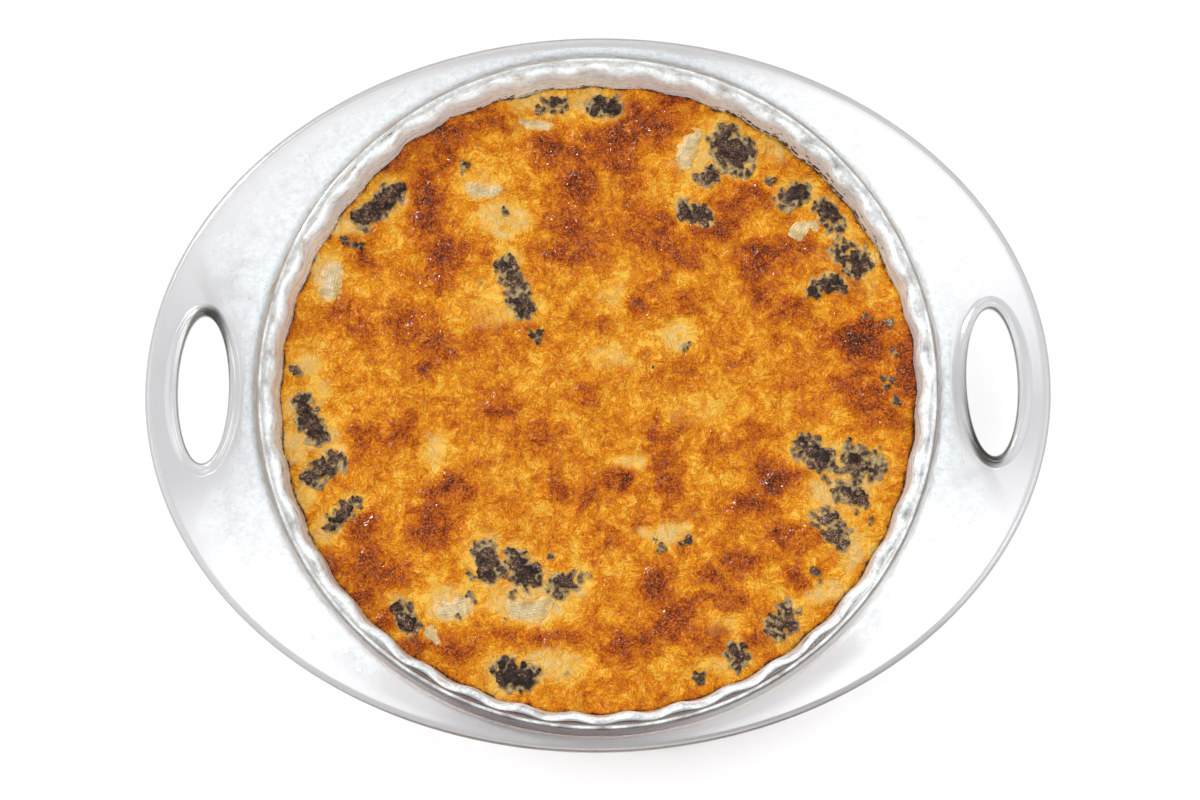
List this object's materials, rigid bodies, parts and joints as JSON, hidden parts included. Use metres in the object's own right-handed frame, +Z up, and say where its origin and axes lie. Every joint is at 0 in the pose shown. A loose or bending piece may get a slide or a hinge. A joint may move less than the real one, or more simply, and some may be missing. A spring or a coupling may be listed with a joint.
{
  "type": "cheeseburger pie in glass dish",
  "caption": "Crustless baked cheese and custard pie with browned beef and onion, in a clear glass pie dish with a fluted bowl and a wide oval flange with hand slots.",
  "frame": {"origin": "on the underside of the dish, under the middle of the bowl", "axes": "+Z up; X runs through the two hand slots, along the long axis of the oval flange; +Y across it"},
  "size_m": [0.345, 0.2754, 0.047],
  "materials": {
    "clear_glass": "clear pressed glass, slightly hazed with cooking grease",
    "baked_cheese": "baked cheese and custard, orange with glossy red-brown blisters",
    "browned_beef": "dark browned beef crumbs",
    "soft_onion": "softened translucent onion"
  },
  "bodies": {
    "root": {"glass_dish": "clear_glass", "baked_filling": "baked_cheese", "beef_01": "browned_beef", "beef_02": "browned_beef", "beef_03": "browned_beef", "beef_04": "browned_beef", "beef_05": "browned_beef", "beef_06": "browned_beef", "beef_07": "browned_beef", "beef_08": "browned_beef", "beef_09": "browned_beef", "beef_10": "browned_beef", "beef_11": "browned_beef", "beef_12": "browned_beef", "beef_13": "browned_beef", "beef_14": "browned_beef", "beef_15": "browned_beef", "beef_16": "browned_beef", "beef_17": "browned_beef", "beef_18": "browned_beef", "beef_19": "browned_beef", "beef_20": "browned_beef", "beef_21": "browned_beef", "beef_22": "browned_beef", "beef_23": "browned_beef", "beef_24": "browned_beef", "beef_25": "browned_beef", "onion_01": "soft_onion", "onion_02": "soft_onion", "onion_03": "soft_onion", "onion_04": "soft_onion", "onion_05": "soft_onion", "onion_06": "soft_onion", "onion_07": "soft_onion", "onion_08": "soft_onion"}
  },
  "joints": []
}
